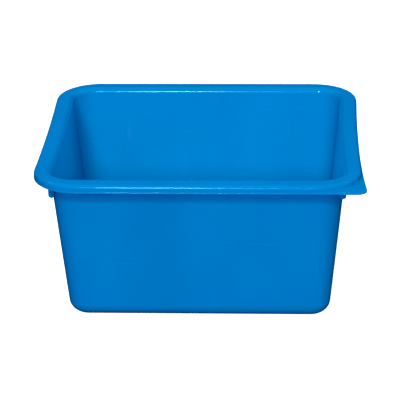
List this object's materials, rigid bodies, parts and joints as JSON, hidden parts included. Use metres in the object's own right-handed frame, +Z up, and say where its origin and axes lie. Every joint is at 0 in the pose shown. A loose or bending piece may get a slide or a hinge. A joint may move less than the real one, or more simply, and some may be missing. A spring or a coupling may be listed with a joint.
{
  "type": "rectangular basin",
  "caption": "Deep rectangular plastic basin with tapered walls, a wide turned-down rim, a flat squared pouring lip at a corner and small stacking lugs under the rim.",
  "frame": {"origin": "centre of the basin's outline, on the surface that it stands on", "axes": "+X along the basin's longer side, to the right; +Y to the rear; +Z up. The pouring lip is at the front right corner (+X, -Y)."},
  "size_m": [0.384, 0.3548, 0.1848],
  "materials": {
    "blue_plastic": "gloss, injection moulded"
  },
  "bodies": {
    "root": {"tub": "blue_plastic", "rim": "blue_plastic", "stacking_lug_front_left": "blue_plastic", "stacking_lug_front_right": "blue_plastic", "stacking_lug_rear_left": "blue_plastic", "stacking_lug_rear_right": "blue_plastic"}
  },
  "joints": []
}
